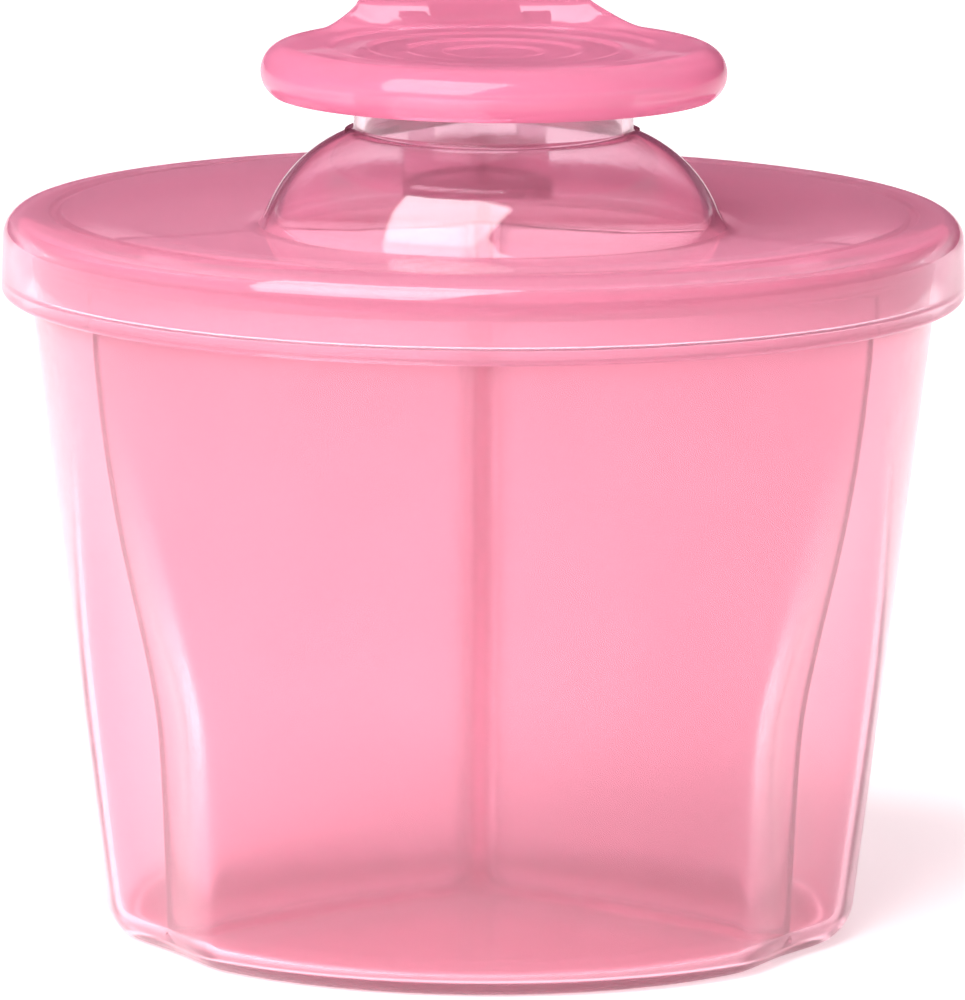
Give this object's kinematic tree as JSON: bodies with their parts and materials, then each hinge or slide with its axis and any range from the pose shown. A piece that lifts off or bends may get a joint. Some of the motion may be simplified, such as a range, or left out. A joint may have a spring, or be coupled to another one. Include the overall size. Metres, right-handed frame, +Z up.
{
  "type": "formula dispenser",
  "caption": "Round lidded tub with a lift-out divider for measured milk powder, a turning lid with an off-centre pouring spout, and a flip cap.",
  "frame": {"origin": "on the tub's axis at the surface that the tub stands on", "axes": "+Z up along the tub's axis, -Y towards the front, where the spout stands, +X to the right"},
  "size_m": [0.1184, 0.1184, 0.1131],
  "materials": {
    "tub_plastic": "clear tinted polypropylene, glossy",
    "divider_plastic": "clear tinted polypropylene, satin",
    "lid_plastic": "clear tinted polypropylene, glossy",
    "cap_plastic": "tinted polypropylene, glossy"
  },
  "bodies": {
    "tub": {"tub": "tub_plastic"},
    "divider": {"divider": "divider_plastic"},
    "lid": {"lid": "lid_plastic"},
    "cap": {"flip_cap": "cap_plastic"}
  },
  "joints": [
    {"name": "divider_lift", "type": "slide", "parent": "tub", "child": "divider", "axis": [0, 0, 1], "range_m": [0, 0.09]},
    {"name": "lid_turn", "type": "hinge", "parent": "divider", "child": "lid", "pos_m": [0, 0, 0.0876], "axis": [0, 0, 1], "continuous": true},
    {"name": "cap_flip", "type": "hinge", "parent": "lid", "child": "cap", "pos_m": [-0.00133, 0.01695, 0.1055], "axis": [-0.9969, -0.0785, 0], "range_deg": [0, 110]}
  ]
}
